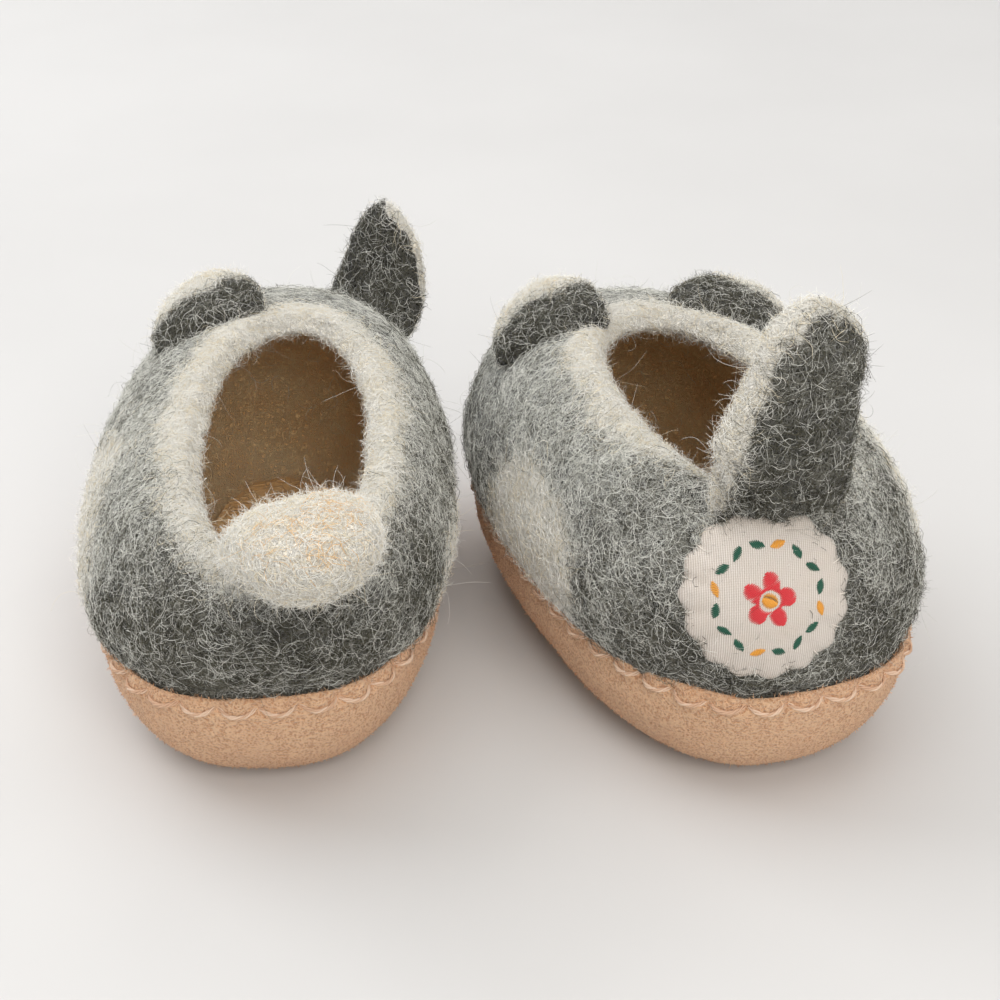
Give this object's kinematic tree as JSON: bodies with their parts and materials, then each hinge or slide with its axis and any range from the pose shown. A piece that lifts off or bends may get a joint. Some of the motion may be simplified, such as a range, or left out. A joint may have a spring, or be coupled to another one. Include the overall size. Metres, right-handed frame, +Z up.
{
  "type": "pair of felt animal slippers",
  "caption": "Pair of small wet-felted wool slippers with a cream lining, folding ears and a tail on each, stitched suede cup soles and a round woven heel label.",
  "frame": {"origin": "on the floor, under the middle of the pair's bounding box", "axes": "+Z up, +Y towards the toes, +X from the left slipper to the right one"},
  "size_m": [0.1836, 0.1845, 0.1109],
  "materials": {
    "grey_felt": "fuzzy wet-felted wool, mottled grey",
    "dark_felt": "fuzzy wet-felted wool, dark grey",
    "cream_felt": "fuzzy wet-felted wool, undyed cream",
    "suede": "brushed suede, peach tan",
    "insole_felt": "pressed wool felt, beige",
    "thread": "twisted thread, pale pink",
    "label_cloth": "ribbed woven cloth, off-white",
    "black_felt": "felted wool, black"
  },
  "bodies": {
    "left_slipper": {"left_sole": "suede", "left_seam_thread": "thread", "left_felt_outer": "grey_felt", "left_felt_lining": "cream_felt", "left_insole": "insole_felt", "left_left_eye": "black_felt", "left_right_eye": "black_felt", "left_nose": "black_felt"},
    "left_tail": {"left_tail_core": "cream_felt", "left_tail_cover": "grey_felt"},
    "left_left_ear": {"left_left_ear_back": "dark_felt", "left_left_ear_front": "cream_felt"},
    "left_right_ear": {"left_right_ear_back": "dark_felt", "left_right_ear_front": "cream_felt"},
    "right_slipper": {"right_sole": "suede", "right_seam_thread": "thread", "right_felt_outer": "grey_felt", "right_felt_lining": "cream_felt", "right_insole": "insole_felt", "right_left_eye": "black_felt", "right_right_eye": "black_felt", "right_nose": "black_felt", "right_label": "label_cloth", "right_label_thread": "thread"},
    "right_tail": {"right_tail_core": "cream_felt", "right_tail_cover": "grey_felt"},
    "right_left_ear": {"right_left_ear_back": "dark_felt", "right_left_ear_front": "cream_felt"},
    "right_right_ear": {"right_right_ear_back": "dark_felt", "right_right_ear_front": "cream_felt"}
  },
  "joints": [
    {"name": "pair_spacing", "type": "slide", "parent": "left_slipper", "child": "right_slipper", "axis": [1, 0, 0], "range_m": [0, 0.12]},
    {"name": "left_tail_bend", "type": "hinge", "parent": "left_slipper", "child": "left_tail", "pos_m": [-0.0375, -0.0606, 0.06805], "axis": [0.9455, 0.3256, 0], "range_deg": [-100, 15]},
    {"name": "right_tail_bend", "type": "hinge", "parent": "right_slipper", "child": "right_tail", "pos_m": [0.05824, -0.04924, 0.07714], "axis": [0.9587, 0.2569, -0.1219], "range_deg": [-16, 100]},
    {"name": "left_left_ear_fold", "type": "hinge", "parent": "left_slipper", "child": "left_left_ear", "pos_m": [-0.06631, 0.03138, 0.07197], "axis": [0.9285, 0.1095, 0.3547], "range_deg": [0, 100]},
    {"name": "left_right_ear_fold", "type": "hinge", "parent": "left_slipper", "child": "left_right_ear", "pos_m": [-0.02847, 0.06384, 0.06114], "axis": [0.7458, -0.6455, -0.1648], "range_deg": [-90, 10]},
    {"name": "right_left_ear_fold", "type": "hinge", "parent": "right_slipper", "child": "right_left_ear", "pos_m": [0.01196, 0.02596, 0.07223], "axis": [0.9043, 0.0001, 0.4268], "range_deg": [0, 110]},
    {"name": "right_right_ear_fold", "type": "hinge", "parent": "right_slipper", "child": "right_right_ear", "pos_m": [0.05491, 0.03354, 0.07372], "axis": [0.9243, -0.3259, -0.1987], "range_deg": [0, 100]}
  ]
}
